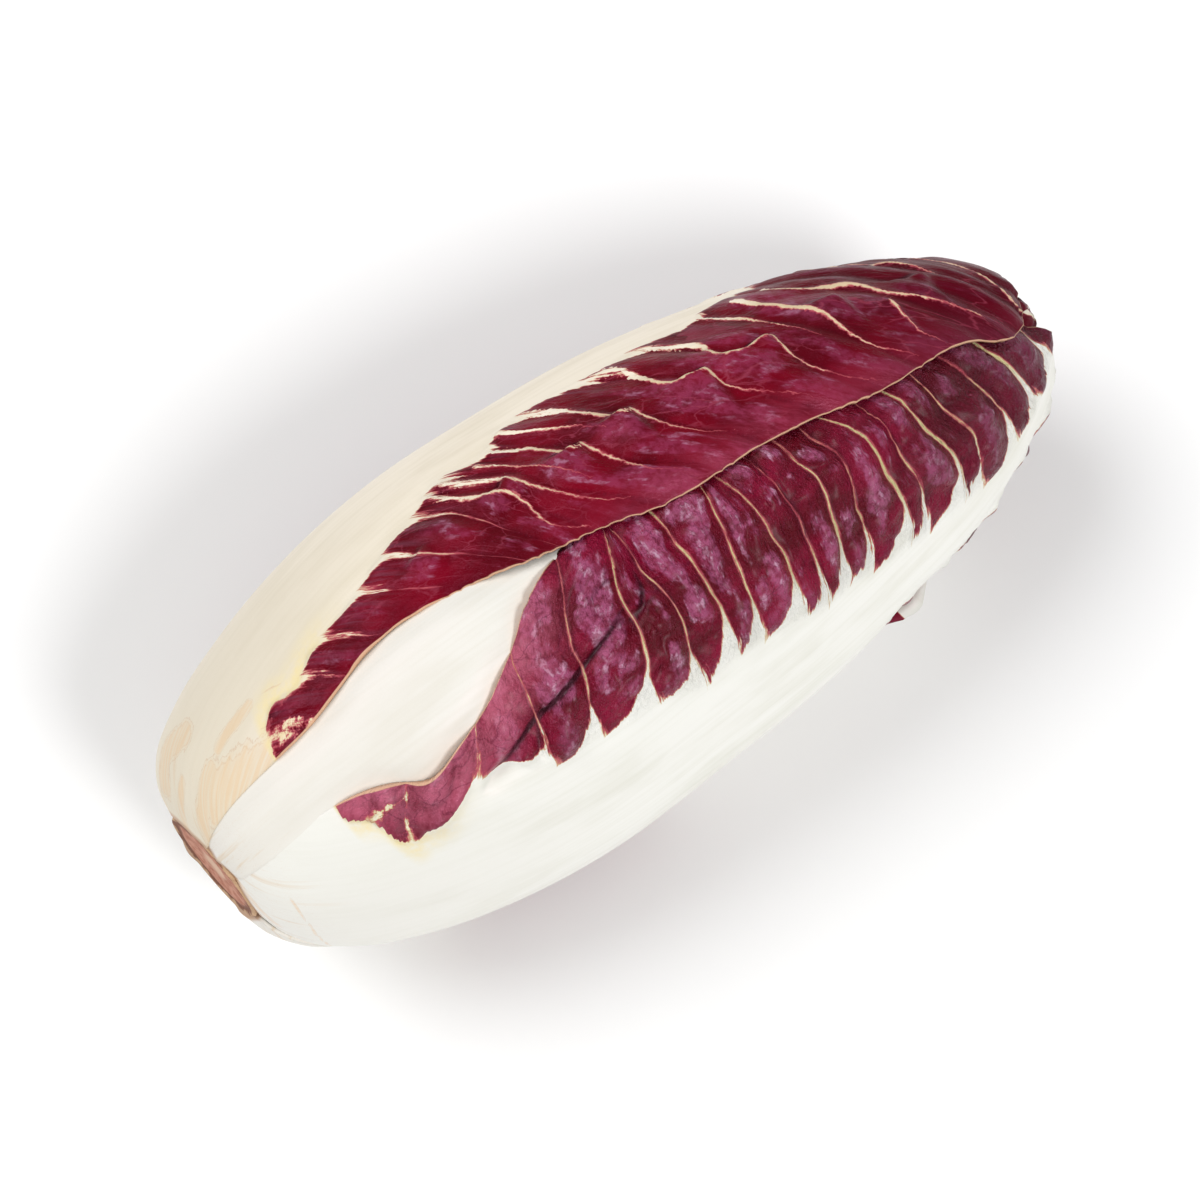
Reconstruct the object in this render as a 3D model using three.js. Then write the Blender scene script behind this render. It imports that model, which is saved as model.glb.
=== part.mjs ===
// A head of Treviso radicchio lying on its side: a cut stem, eight leaves that wrap one another, and a
// tight heart. Millimetres, +Z up, butt toward -X, tip toward +X, resting on a small flat spot.
//
// Every surface of the head is written on one pair of coordinates: m, the distance in mm along the outside
// from the cut toward the tip, and phi, the angle round the head's axis (0 is up, +90 is +Y). A leaf is a
// closed sheet between two depths under that outer skin. An older leaf lies outside a younger one, and
// beyond its edge the younger one rises gently back to the skin, so the leaves nest and never cross.
import * as THREE from 'three';

const RAD = Math.PI / 180;

// ---- the head ----
const HEAD_LENGTH = 190;
const AXIS_HEIGHT = 38.6;     // the head is a little fatter than this, which flattens it where it rests
const SIDE_ARCH = 2.4;        // how far the middle of the head bows toward +Y
const CUT_SLANT = 0.1;        // slope of the knife's cut across the butt
const SLANT_REACH = 40;       // mm from the cut over which that slope dies away
// outer radius at distances from the cut: blunt butt, widest a third of the way up, long taper, blunt tip
const OUTLINE = [[0, 12.5], [1.6, 17.5], [5.5, 23], [13, 28.2], [26, 33.6], [45, 38.5], [65, 40.8], [88, 40.3],
  [112, 38.6], [134, 34.9], [153, 30.3], [167, 24.9], [178, 18.6], [186, 11.2], [HEAD_LENGTH, 0]];
// depth is measured toward a spine inside the head, between these two distances from the cut
const SPINE = [34, 165];

// ---- the leaves ----
const GOLDEN_ANGLE = 137.5;   // turn from each leaf to the next younger one
const FIRST_LEAF = 190;       // where the oldest leaf stands, under the head
const BLADE = 0.9;            // thickness of the red blade
const GAP = 0.8;              // air between one leaf and the next
const FALL = 18;              // mm beyond an edge over which the next leaf rises to the skin
const TIP_ROUND = 24;         // length of a leaf's rounded end
const TOOTH = 0.8;            // half the height of the teeth along an edge
const PUCKER = 0.3;           // half the depth of the hollows between side veins
const PUCKER_PITCH = 22;
const YOUNGER_SINK = 1.3;     // extra hollow over each leaf from the fourth on
// the white midrib: how much it adds to the blade, and how far it reaches to each side, against m
const RIB_HEIGHT = [[0, 4.2], [30, 4.6], [60, 3.4], [100, 2.1], [150, 1.0], [214, 0.4]];
const RIB_REACH = [[0, 15], [30, 24], [60, 22], [100, 15], [150, 9], [214, 5]];
// half width of a leaf in degrees round the head, against m
const PLAIN_EDGE = [[0, 64], [30, 62], [60, 58], [90, 72], [120, 80], [214, 84]];
const LEAVES = [
  { name: 'leaf_1', lean: -6, tip: 197, less: PLAIN_EDGE, columns: 14, curl: 149,
    more: [[0, 60], [30, 57], [60, 52], [100, 58], [139, 61], [149, 66], [158, 61], [214, 62]] },
  { name: 'leaf_2', lean: 11, tip: 205, more: PLAIN_EDGE, columns: 14,
    less: [[0, 63], [14, 62], [34, 61], [53, 55], [68, 56], [81, 60], [96, 65], [111, 69], [140, 70], [161, 74],
      [183, 77], [195, 92], [214, 96]] },
  { name: 'leaf_3', lean: 3, tip: 205, less: PLAIN_EDGE, columns: 14,
    more: [[0, 57], [20, 60], [41, 56], [47, 51], [55, 54], [62, 58], [72, 67], [82, 76], [95, 84], [120, 87],
      [214, 88]] },
  { name: 'leaf_4', lean: 8, tip: 201, less: PLAIN_EDGE, more: PLAIN_EDGE, columns: 10 },
  { name: 'leaf_5', lean: -10, tip: 205, less: PLAIN_EDGE, more: PLAIN_EDGE, columns: 12 },
  { name: 'leaf_6', lean: 0, tip: 201, less: PLAIN_EDGE, more: PLAIN_EDGE, columns: 8 },
  { name: 'leaf_7', lean: 0, tip: 205, less: PLAIN_EDGE, more: PLAIN_EDGE, columns: 8 },
  { name: 'leaf_8', lean: 0, tip: 205, less: PLAIN_EDGE, more: PLAIN_EDGE, columns: 8 },
];
const CURL_LIFT = 3;          // the one edge that stands clear of the head
const CURL_LENGTH = 5;
// the sheets share these stations, so that neighbours are faceted alike
const STATIONS = [0, 3, 7, 12, 18, 25, 33, 41, 50, 59, 68, 77, 86, 95, 104, 113, 122, 131, 140, 149, 158, 167,
  175, 182, 188, 193, 197, 201, 205];

// ---- the stem and the heart ----
const STEM_CLEARANCE = 0.4;
const STEM_LENGTH = 31;
const STEM_SIDES = 28;
const HEART_SIDES = 20;
const HEART_LEAVES = 5;       // the heart's own small leaves, shown as overlapping edges
const HEART_STEP = 1.4;

const clamp = (v, low, high) => Math.min(high, Math.max(low, v));
const smooth = (v) => { const t = clamp(v, 0, 1); return t * t * (3 - 2 * t); };
const wrap = (angle) => angle - 360 * Math.round(angle / 360);

// A smooth curve through [x, y] points: each point's slope is the weighted mean of its two chords.
function curve(points) {
  const chord = points.slice(1).map((p, i) => (p[1] - points[i][1]) / (p[0] - points[i][0]));
  const slope = points.map((p, i) => {
    if (i === 0) return chord[0];
    if (i === points.length - 1) return chord[i - 1];
    const before = p[0] - points[i - 1][0];
    const after = points[i + 1][0] - p[0];
    return (before * chord[i] + after * chord[i - 1]) / (before + after);
  });
  return (x) => {
    let i = 0;
    while (i < points.length - 2 && x > points[i + 1][0]) i += 1;
    const h = points[i + 1][0] - points[i][0];
    const t = clamp((x - points[i][0]) / h, 0, 1);
    return (2 * t ** 3 - 3 * t ** 2 + 1) * points[i][1] + (t ** 3 - 2 * t ** 2 + t) * h * slope[i]
      + (3 * t ** 2 - 2 * t ** 3) * points[i + 1][1] + (t ** 3 - t ** 2) * h * slope[i + 1];
  };
}

// distances along the outline, and the outline as two curves of that distance
const alongSkin = OUTLINE.map(() => 0);
for (let i = 1; i < OUTLINE.length; i += 1) {
  alongSkin[i] = alongSkin[i - 1] + Math.hypot(OUTLINE[i][0] - OUTLINE[i - 1][0], OUTLINE[i][1] - OUTLINE[i - 1][1]);
}
const SKIN_LENGTH = alongSkin[alongSkin.length - 1];
const skinX = curve(OUTLINE.map((p, i) => [alongSkin[i], p[0]]));
const skinRadius = curve(OUTLINE.map((p, i) => [alongSkin[i], p[1]]));
const ribHeight = curve(RIB_HEIGHT);
const ribReach = curve(RIB_REACH);

// The bow of the head and the slant of its cut, which every piece shares.
function bend(x, y, z) {
  const fade = clamp(1 - x / SLANT_REACH, 0, 1) ** 2;
  const bow = SIDE_ARCH * Math.sin(Math.PI * x / HEAD_LENGTH);
  return new THREE.Vector3(x - CUT_SLANT * y * fade, y + bow, z);
}

// The point at station m and angle phi, this far under the skin.
function headPoint(m, phi, depth) {
  const x = skinX(m);
  const radius = Math.max(skinRadius(m), 0);
  const focus = SPINE[0] + (SPINE[1] - SPINE[0]) * x / HEAD_LENGTH;
  const full = Math.hypot(x - focus, radius);
  const down = -Math.cos(phi * RAD) * radius / full;
  const limit = down > 1e-6 ? AXIS_HEIGHT / down : Infinity;
  const reach = Math.min(full, limit) - depth;
  const side = radius / full * reach;
  return bend(focus + (x - focus) / full * reach, side * Math.sin(phi * RAD),
    AXIS_HEIGHT + side * Math.cos(phi * RAD));
}

// One leaf's shape as functions of m and phi.
function shapeLeaf(spec, index) {
  const turn = FIRST_LEAF - GOLDEN_ANGLE * index + spec.lean;
  const less = curve(spec.less);
  const more = curve(spec.more);
  const narrowing = (m) => {
    const t = clamp((m - spec.tip + TIP_ROUND) / TIP_ROUND, 0, 0.985);
    return Math.sqrt(1 - t ** 4);
  };
  const halfWidth = (m, side) => (side < 0 ? less(m) : more(m)) * narrowing(m);
  // mm from the leaf's edge, negative on the leaf
  const beyond = (m, phi) => {
    const off = wrap(phi - turn);
    return skinRadius(m) * RAD * (Math.abs(off) - halfWidth(m, Math.sign(off)));
  };
  const cover = (m, phi) => {
    const out = Math.hypot(Math.max(0, beyond(Math.min(m, spec.tip), phi)), Math.max(0, m - spec.tip));
    return 1 - smooth(out / FALL);
  };
  const thickness = (m, phi) => {
    const across = Math.abs(wrap(phi - turn)) * RAD * skinRadius(m) / ribReach(m);
    return BLADE + (across < 1 ? ribHeight(m) * Math.cos(across * Math.PI / 2) ** 2 : 0);
  };
  // hollows between side veins, which leave the rib at a slant, none on the rib or where the head rests
  const hollow = (m, phi) => {
    const across = Math.abs(wrap(phi - turn)) * RAD * skinRadius(m);
    const onBlade = smooth((across - ribReach(m)) / 8) * smooth((m - 40) / 20);
    const aboveRest = smooth((Math.abs(wrap(phi - 180)) - 26) / 14);
    return PUCKER * (1 - Math.cos(2 * Math.PI * (m - 0.9 * across) / PUCKER_PITCH)) * onBlade * aboveRest;
  };
  const lift = (m, phi) => {
    if (!spec.curl) return 0;
    const along = Math.exp(-(((m - spec.curl) / CURL_LENGTH) ** 2));
    return wrap(phi - turn) > 0 ? CURL_LIFT * along * smooth(1 + beyond(m, phi) / 9) : 0;
  };
  return { ...spec, turn, halfWidth, cover, thickness, hollow, lift };
}

const leaves = LEAVES.map(shapeLeaf);

// How far the older leaves push leaf number index under the skin.
function depthOf(index, m, phi) {
  let depth = YOUNGER_SINK * Math.max(0, index - 3);
  for (const older of leaves.slice(0, index)) {
    depth += older.cover(m, phi) * (older.thickness(m, phi) + older.hollow(m, phi) + GAP);
  }
  return depth;
}

// A closed mesh from numbered points and triangles.
function solid(name, points, triangles, colour, roughness) {
  const geometry = new THREE.BufferGeometry();
  geometry.setAttribute('position', new THREE.Float32BufferAttribute(points.flatMap((p) => [p.x, p.y, p.z]), 3));
  geometry.setIndex(triangles.flat());
  geometry.computeVertexNormals();
  const material = new THREE.MeshStandardMaterial({ color: colour, roughness, metalness: 0 });
  const mesh = new THREE.Mesh(geometry, material);
  mesh.name = name;
  return mesh;
}

// A leaf: an outer and an inner grid split into triangles alike, joined all round the rim.
function leafMesh(leaf, index) {
  const rows = STATIONS.filter((m) => m < leaf.tip - 2.5).concat(leaf.tip);
  const columns = leaf.columns;
  const outer = [];
  const inner = [];
  rows.forEach((m, row) => {
    const tooth = m > 56 && row < rows.length - 2 ? TOOTH * (row % 2 ? 1 : -1) / skinRadius(m) / RAD : 0;
    for (let i = 0; i <= columns; i += 1) {
      const t = i / columns * 2 - 1;
      const edge = (i === 0 || i === columns) ? tooth : 0;
      const phi = leaf.turn + t * leaf.halfWidth(m, Math.sign(t)) + Math.sign(t) * edge;
      const top = depthOf(index, m, phi) + leaf.hollow(m, phi) - leaf.lift(m, phi);
      outer.push(headPoint(m, phi, top));
      inner.push(headPoint(m, phi, top + leaf.thickness(m, phi)));
    }
  });
  const width = columns + 1;
  const under = outer.length;
  const triangles = [];
  const quad = (a, b, c, d) => triangles.push([a, c, b], [a, d, c]);
  for (let row = 0; row < rows.length - 1; row += 1) {
    for (let i = 0; i < columns; i += 1) {
      const a = row * width + i;
      quad(a, a + 1, a + width + 1, a + width);
      const b = under + a;
      triangles.push([b, b + 1, b + width + 1], [b, b + width + 1, b + width]);
    }
    const low = row * width;
    const high = low + columns;
    quad(low, low + width, under + low + width, under + low);
    quad(high + width, high, under + high, under + high + width);
  }
  const last = (rows.length - 1) * width;
  for (let i = 0; i < columns; i += 1) {
    quad(i + 1, i, under + i, under + i + 1);
    quad(last + i, last + i + 1, under + last + i + 1, under + last + i);
  }
  return solid(leaf.name, outer.concat(inner), triangles, '#7a1438', 0.45);
}

// Rings of points closed by a point at each end make the heart and the stem.
function ringed(name, first, rings, lastPoint, colour, roughness) {
  const sides = rings[0].length;
  const points = [first, ...rings.flat(), lastPoint];
  const triangles = [];
  for (let i = 0; i < sides; i += 1) {
    const next = (i + 1) % sides;
    triangles.push([0, 1 + i, 1 + next]);
    for (let ring = 0; ring < rings.length - 1; ring += 1) {
      const a = 1 + ring * sides;
      triangles.push([a + i, a + sides + next, a + next], [a + i, a + sides + i, a + sides + next]);
    }
    const end = 1 + (rings.length - 1) * sides;
    triangles.push([points.length - 1, end + next, end + i]);
  }
  return solid(name, points, triangles, colour, roughness);
}

function round(sides, place) {
  return Array.from({ length: sides }, (unused, i) => place(i / sides * 360));
}

// The stem runs from the cut face to a point inside the head. The leaves grow from its slope.
function stemMesh() {
  const coneRadius = (x) => OUTLINE[0][1] * (1 - x / SPINE[0]) - STEM_CLEARANCE;
  const profile = [[0.5, 5], [0.1, 8], [0.35, 10.4], [0, coneRadius(0) - 0.6], [0.5, coneRadius(0.5)],
    [10, coneRadius(10)], [20, coneRadius(20)], [STEM_LENGTH, coneRadius(STEM_LENGTH)]];
  const place = (x, radius, phi) => bend(x, radius * Math.sin(phi * RAD), AXIS_HEIGHT + radius * Math.cos(phi * RAD));
  const rings = profile.map(([x, radius]) => round(STEM_SIDES, (phi) => place(x, radius, phi)));
  return ringed('stem', place(0.7, 0, 0), rings, place(STEM_LENGTH + 0.4, 0, 0), '#a97863', 0.85);
}

// The heart is the tight bud of the youngest leaves, whose edges overlap round it like a closed fan.
function heartMesh() {
  const fan = (m, phi) => {
    const t = (phi / 360 * HEART_LEAVES + m / 90) % 1;
    return HEART_STEP * (t < 0.8 ? t / 0.8 : (1 - t) / 0.2);
  };
  const rows = STATIONS.concat(208, 211);
  const rings = rows.map((m) => round(HEART_SIDES,
    (phi) => headPoint(m, phi, depthOf(leaves.length, m, phi) + fan(m, phi))));
  const foot = bend(SPINE[0] + 1.2, 0, AXIS_HEIGHT);
  return ringed('heart', foot, rings, headPoint(SKIN_LENGTH, 0, depthOf(leaves.length, SKIN_LENGTH, 0)), '#c9a7a0', 0.5);
}

const head = new THREE.Group();
head.add(stemMesh());
leaves.forEach((leaf, index) => head.add(leafMesh(leaf, index)));
head.add(heartMesh());

// the origin is the middle of the head's box, on the surface that it lies on
const box = new THREE.Box3().setFromObject(head);
head.position.set(-(box.min.x + box.max.x) / 2, -(box.min.y + box.max.y) / 2, -box.min.z);

export default head;
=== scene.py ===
# %% [markdown]
# # A head of Treviso radicchio, leaf by leaf
# The solids give the head its stem, eight wrapped leaves and a heart, with few faces each. This lesson
# gives every one of them its fine surface: raised veins, puckers, small teeth along the edges, and a
# finish that changes from white rib to burgundy blade. Nothing is moved: each fine piece takes the place
# of the solid it stands for.

# %% Load the solids, with their placement baked in
import math
import bpy
import numpy as np
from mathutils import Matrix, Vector


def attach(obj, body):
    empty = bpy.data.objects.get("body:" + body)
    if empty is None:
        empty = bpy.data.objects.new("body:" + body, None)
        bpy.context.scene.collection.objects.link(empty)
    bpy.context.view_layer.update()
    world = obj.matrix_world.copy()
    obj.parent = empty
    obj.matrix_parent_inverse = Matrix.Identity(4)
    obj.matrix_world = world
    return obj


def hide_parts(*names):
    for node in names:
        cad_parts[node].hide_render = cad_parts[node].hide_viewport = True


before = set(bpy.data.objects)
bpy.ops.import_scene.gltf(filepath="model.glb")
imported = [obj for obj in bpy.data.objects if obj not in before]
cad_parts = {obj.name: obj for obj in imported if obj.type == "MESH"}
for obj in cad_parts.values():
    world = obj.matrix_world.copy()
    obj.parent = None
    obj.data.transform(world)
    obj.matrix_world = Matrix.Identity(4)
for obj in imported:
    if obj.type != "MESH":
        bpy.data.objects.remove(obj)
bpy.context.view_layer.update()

MM = 0.001
bpy.ops.object.select_all(action="DESELECT")
print("solids:", sorted(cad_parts))

# %% [markdown]
# ## The head's own coordinates
# A wrapped leaf is easiest to describe on the head it wraps. Every point gets a station m, the distance
# in mm along the outside from the cut, and an angle phi round the head, 0 at the top and +90 toward +Y.
# A smooth outline turned round the axis gives the skin. A depth under that skin gives each layer.

# %% The outline as two smooth curves of the station
HEAD_LENGTH = 190.0
AXIS_HEIGHT = 38.6
SIDE_ARCH = 2.4
CUT_SLANT = 0.1
SLANT_REACH = 40.0
SPINE = (34.0, 165.0)
OUTLINE = [(0, 12.5), (1.6, 17.5), (5.5, 23), (13, 28.2), (26, 33.6), (45, 38.5), (65, 40.8), (88, 40.3),
           (112, 38.6), (134, 34.9), (153, 30.3), (167, 24.9), (178, 18.6), (186, 11.2), (HEAD_LENGTH, 0)]


def curve(points):
    """A smooth curve through points. Each slope is the weighted mean of the two chords beside it."""
    knots, values = np.array(points, float).T
    width = np.diff(knots)
    chord = np.diff(values) / width
    inner = (width[:-1] * chord[1:] + width[1:] * chord[:-1]) / (width[:-1] + width[1:])
    slope = np.concatenate([chord[:1], inner, chord[-1:]])

    def along(x):
        i = np.clip(np.searchsorted(knots, x, side="right") - 1, 0, len(width) - 1)
        t = np.clip((x - knots[i]) / width[i], 0, 1)
        start = (2 * t**3 - 3 * t**2 + 1) * values[i] + (t**3 - 2 * t**2 + t) * width[i] * slope[i]
        end = (3 * t**2 - 2 * t**3) * values[i + 1] + (t**3 - t**2) * width[i] * slope[i + 1]
        return start + end

    return along


def smooth(t):
    t = np.clip(t, 0, 1)
    return t * t * (3 - 2 * t)


steps = [math.dist(a, b) for a, b in zip(OUTLINE, OUTLINE[1:])]
stations = np.concatenate([[0], np.cumsum(steps)])
SKIN_LENGTH = stations[-1]
skin_x = curve([(m, p[0]) for m, p in zip(stations, OUTLINE)])
skin_radius = curve([(m, p[1]) for m, p in zip(stations, OUTLINE)])
print("length of the skin from cut to tip, mm:", round(SKIN_LENGTH, 1))


# %% [markdown]
# ## From coordinates to a place in the frame
# The stem's inner point is the one corner that both descriptions know exactly, so it ties this lesson's
# millimetres to the frame's metres.

# %% A point of the head
STEM_END = 31.4


def bend(x, y, z):
    """The head's bow to one side and the slant of its cut."""
    fade = np.clip(1 - x / SLANT_REACH, 0, 1) ** 2
    return np.stack([x - CUT_SLANT * y * fade, y + SIDE_ARCH * np.sin(np.pi * x / HEAD_LENGTH), z], -1)


stem_corners = [v.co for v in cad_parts["stem"].data.vertices]
stem_point = max(stem_corners, key=lambda co: co.x)
SHIFT = np.array(stem_point) - bend(np.float64(STEM_END), 0.0, AXIS_HEIGHT) * MM


def head_point(m, phi, depth):
    """Frame position, in metres, of station m (mm) and angle phi (degrees), depth mm under the skin."""
    x = skin_x(m)
    radius = np.maximum(skin_radius(m), 1e-4)
    focus = SPINE[0] + (SPINE[1] - SPINE[0]) * x / HEAD_LENGTH
    full = np.hypot(x - focus, radius)
    up = np.cos(np.radians(phi))
    down = np.maximum(-up * radius / full, 1e-6)
    reach = np.minimum(full, AXIS_HEIGHT / down) - depth
    side = radius / full * reach
    place = bend(focus + (x - focus) / full * reach, side * np.sin(np.radians(phi)), AXIS_HEIGHT + side * up)
    return place * MM + SHIFT


print("the frame's origin lies", (-SHIFT / MM).round(2), "mm from the floor below the middle of the cut")

# %% [markdown]
# ## Leaves as the plant sets them
# Each leaf stands about 137.5 degrees round from the one before. It has two margins, each a curve of
# degrees against the station, a rib that is thick near the cut, and a thin blade that puckers a little.

# %% What one leaf knows of itself
GOLDEN_ANGLE = 137.5
FIRST_LEAF = 190.0
BLADE = 0.9
GAP = 0.8
FALL = 18.0
TIP_ROUND = 24.0
PUCKER = 0.3
PUCKER_PITCH = 22.0
YOUNGER_SINK = 1.3
CURL_LIFT = 3.0
CURL_LENGTH = 5.0
rib_height = curve([(0, 4.2), (30, 4.6), (60, 3.4), (100, 2.1), (150, 1.0), (214, 0.4)])
rib_reach = curve([(0, 15), (30, 24), (60, 22), (100, 15), (150, 9), (214, 5)])
PLAIN_EDGE = [(0, 64), (30, 62), (60, 58), (90, 72), (120, 80), (214, 84)]
UNDER_EDGE = [(0, 60), (30, 57), (60, 52), (100, 58), (139, 61), (149, 66), (158, 61), (214, 62)]
TOP_EDGE = [(0, 63), (14, 62), (34, 61), (53, 55), (68, 56), (81, 60), (96, 65), (111, 69), (140, 70),
            (161, 74), (183, 77), (195, 92), (214, 96)]
FRONT_EDGE = [(0, 57), (20, 60), (41, 56), (47, 51), (55, 54), (62, 58), (72, 67), (82, 76), (95, 84),
              (120, 87), (214, 88)]


class Leaf:
    """Where one leaf lies. Its two sides are -1, toward smaller angles, and +1, toward larger ones."""

    def __init__(self, number, lean, tip, less=PLAIN_EDGE, more=PLAIN_EDGE, curl=None):
        self.name = f"leaf_{number}"
        self.index = number - 1
        self.turn = FIRST_LEAF - GOLDEN_ANGLE * self.index + lean
        self.tip = tip
        self.curl = curl
        self.less = curve(less)
        self.more = curve(more)

    def off(self, phi):
        return (phi - self.turn + 180) % 360 - 180

    def half_width(self, m, side):
        t = np.clip((m - self.tip + TIP_ROUND) / TIP_ROUND, 0, 0.985)
        return np.where(side < 0, self.less(m), self.more(m)) * np.sqrt(1 - t**4)

    def beyond(self, m, phi):
        """mm past the leaf's edge, negative on the leaf."""
        off = self.off(phi)
        return np.radians(np.abs(off) - self.half_width(m, off)) * skin_radius(m)

    def cover(self, m, phi):
        side = np.maximum(0, self.beyond(np.minimum(m, self.tip), phi))
        return 1 - smooth(np.hypot(side, np.maximum(0, m - self.tip)) / FALL)

    def thickness(self, m, phi):
        across = np.abs(np.radians(self.off(phi))) * skin_radius(m) / rib_reach(m)
        return BLADE + np.where(across < 1, rib_height(m) * np.cos(np.minimum(across, 1) * np.pi / 2) ** 2, 0)

    def hollow(self, m, phi):
        across = np.abs(np.radians(self.off(phi))) * skin_radius(m)
        on_blade = smooth((across - rib_reach(m)) / 8) * smooth((m - 40) / 20)
        above_rest = smooth((np.abs((phi - 180 + 180) % 360 - 180) - 26) / 14)
        wave = 1 - np.cos(2 * np.pi * (m - 0.9 * across) / PUCKER_PITCH)
        return PUCKER * wave * on_blade * above_rest

    def lift(self, m, phi):
        if self.curl is None:
            return 0.0
        along = np.exp(-(((m - self.curl) / CURL_LENGTH) ** 2))
        return np.where(self.off(phi) > 0, CURL_LIFT * along * smooth(1 + self.beyond(m, phi) / 9), 0)


print("a leaf's rib is", float(rib_height(30)), "mm thicker than its blade near the cut")

# %% [markdown]
# ## Eight leaves, each outside the next
# An older leaf lies outside a younger one. Beyond the older leaf's edge the younger one rises gently to
# the skin, which is what makes an edge look as if it lies on the leaf below.

# %% The leaves in the order they grew
leaves = [
    Leaf(1, lean=-6, tip=197, more=UNDER_EDGE, curl=149),
    Leaf(2, lean=11, tip=205, less=TOP_EDGE),
    Leaf(3, lean=3, tip=205, more=FRONT_EDGE),
    Leaf(4, lean=8, tip=201),
    Leaf(5, lean=-10, tip=205),
    Leaf(6, lean=0, tip=201),
    Leaf(7, lean=0, tip=205),
    Leaf(8, lean=0, tip=205),
]


def depth_of(index, m, phi):
    """How far the older leaves push leaf number index under the skin, in mm."""
    depth = np.full(np.shape(m), YOUNGER_SINK * max(0, index - 3), float)
    for older in leaves[:index]:
        depth = depth + older.cover(m, phi) * (older.thickness(m, phi) + older.hollow(m, phi) + GAP)
    return depth


print("leaves stand at", [round(leaf.turn % 360) for leaf in leaves], "degrees")

# %% [markdown]
# ## Side veins
# The pale side veins carry the whole pattern: white runs out along them from the midrib, and red fills
# the space between. Each vein is written by three stations, where it is 10, 25 and 40 mm out from the
# midrib's middle, and its half width in mm. Between two veins a number called the phase grows evenly
# from one whole number to the next, so a finish can draw every vein as a thin line at whole phases.

# %% The veins of the two leaves that face up, and a rule for the rest
TOP_VEINS = [(-14, 8, 30, 0.3), (0, 20, 40, 0.3), (14, 33, 50, 0.45), (24, 42, 60, 0.4),
             (34, 53, 71, 0.45), (46, 63, 80, 0.75), (60, 76, 88, 0.5), (68, 84, 95, 0.35),
             (74, 89, 103, 0.8), (83, 99, 115, 0.75), (96, 112, 128, 0.85), (108, 127, 145, 0.6),
             (122, 141, 161, 0.8), (139, 156, 175, 0.85), (157, 180, 200, 0.85), (170, 194, 214, 0.4),
             (184, 206, 226, 0.7), (199, 220, 240, 0.5), (214, 235, 255, 0.5), (230, 250, 270, 0.5)]
FRONT_VEINS = [(20, 25, 32, 0.1), (34, 40, 47, 0.1), (49, 54, 60, 0.2), (62, 67, 71, 0.35),
               (72, 77, 82, 0.5), (86, 90, 94, 0.75), (95, 100, 101.5, 0.4), (103, 108, 109.5, 0.75),
               (109.5, 114, 117.5, 0.65), (118, 124, 125, 0.65), (125, 130, 131, 0.35),
               (130, 136, 137.5, 0.75), (137, 142.5, 143.5, 0.35), (148, 151.5, 149, 0.85),
               (152.5, 156, 154.5, 0.35), (163, 164, 160, 0.9), (168.5, 170, 166, 0.35),
               (180, 178, 173, 0.3), (188, 185, 178, 0.95), (199, 196, 188, 0.7), (210, 207, 199, 0.5),
               (224, 220, 212, 0.5)]
VEIN_STATIONS = (10.0, 25.0, 40.0)


def plain_veins(seed):
    """Veins 8 to 11 mm apart beside the rib that lean toward the tip, every other one thin."""
    draw = np.random.default_rng(seed)
    rows = []
    m = -6.0
    while m < 222:
        lean = draw.uniform(7, 11)
        width = 0.75 if len(rows) % 2 else 0.4
        rows.append((m, m + lean, m + 1.7 * lean, width * draw.uniform(0.85, 1.15)))
        m += draw.uniform(8, 11)
    return rows


def vein_fields(veins, m, across):
    """Phase, spacing in mm, and half widths at (m, across), for a list of veins."""
    rows = np.array(veins, float)
    near, mid, far = VEIN_STATIONS
    a = (across - mid) * (across - far) / ((near - mid) * (near - far))
    b = (across - near) * (across - far) / ((mid - near) * (mid - far))
    c = (across - near) * (across - mid) / ((far - near) * (far - mid))
    lines = rows[:, 0, None] * a + rows[:, 1, None] * b + rows[:, 2, None] * c
    lines = np.maximum.accumulate(lines + 1e-3 * np.arange(len(rows))[:, None], axis=0)
    last = len(rows) - 2
    i = np.clip((m[None, :] >= lines).sum(0) - 1, 0, last)
    pick = np.arange(len(m))
    spacing = np.maximum(lines[i + 1, pick] - lines[i, pick], 0.5)
    part = np.clip((m - lines[i, pick]) / spacing, 0, 1)
    rise = (rows[:, 2] - rows[:, 0]) / (far - near)
    slant = 1 / np.hypot(1, rise[i])
    return i + part, spacing * slant, rows[i, 3] * (1 - part) + rows[i + 1, 3] * part, part


print(len(TOP_VEINS), "and", len(FRONT_VEINS), "veins drawn by hand")

# %% [markdown]
# ## Where the white rib ends
# Red starts a certain distance out from the middle of the rib, shown here against the station. Close to
# the cut there is no red at all. The white then runs on along each vein like a funnel, on the vein's side
# toward the cut, and how far it does is the lobe length.

# %% Edge of the red on each leaf
PLAIN_RED = [(0, 62), (24, 60), (32, 33), (60, 27), (90, 20), (120, 15), (150, 8), (172, 1), (188, -6),
             (214, -10)]
TOP_RED = [(0, 62), (24, 58), (26.4, 34), (28, 29.5), (31, 26.8), (38, 28.5), (48, 27), (63, 23), (82, 18.5),
           (100, 13.5), (118, 11.5), (136, 8.5), (148, 4), (158, -3), (170, -9), (214, -12)]
FRONT_RED = [(0, 62), (27, 58), (29.6, 38), (30.4, 33), (32.5, 30.8), (35, 29.5), (36.6, 25.4),
             (43, 24.6), (47, 25), (56, 28), (61, 29.5), (67, 26), (78, 23.5), (89, 20.5), (111, 17.5),
             (122, 16), (133, 13), (150, 10), (163, 8), (186, 3.5), (214, 1.5)]
FRONT_LESS_RED = PLAIN_RED[:-3] + FRONT_RED[-2:]
print("the top leaf is red to the middle beyond", TOP_RED[-3][0], "mm, the front leaf keeps a rib to its tip")

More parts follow.
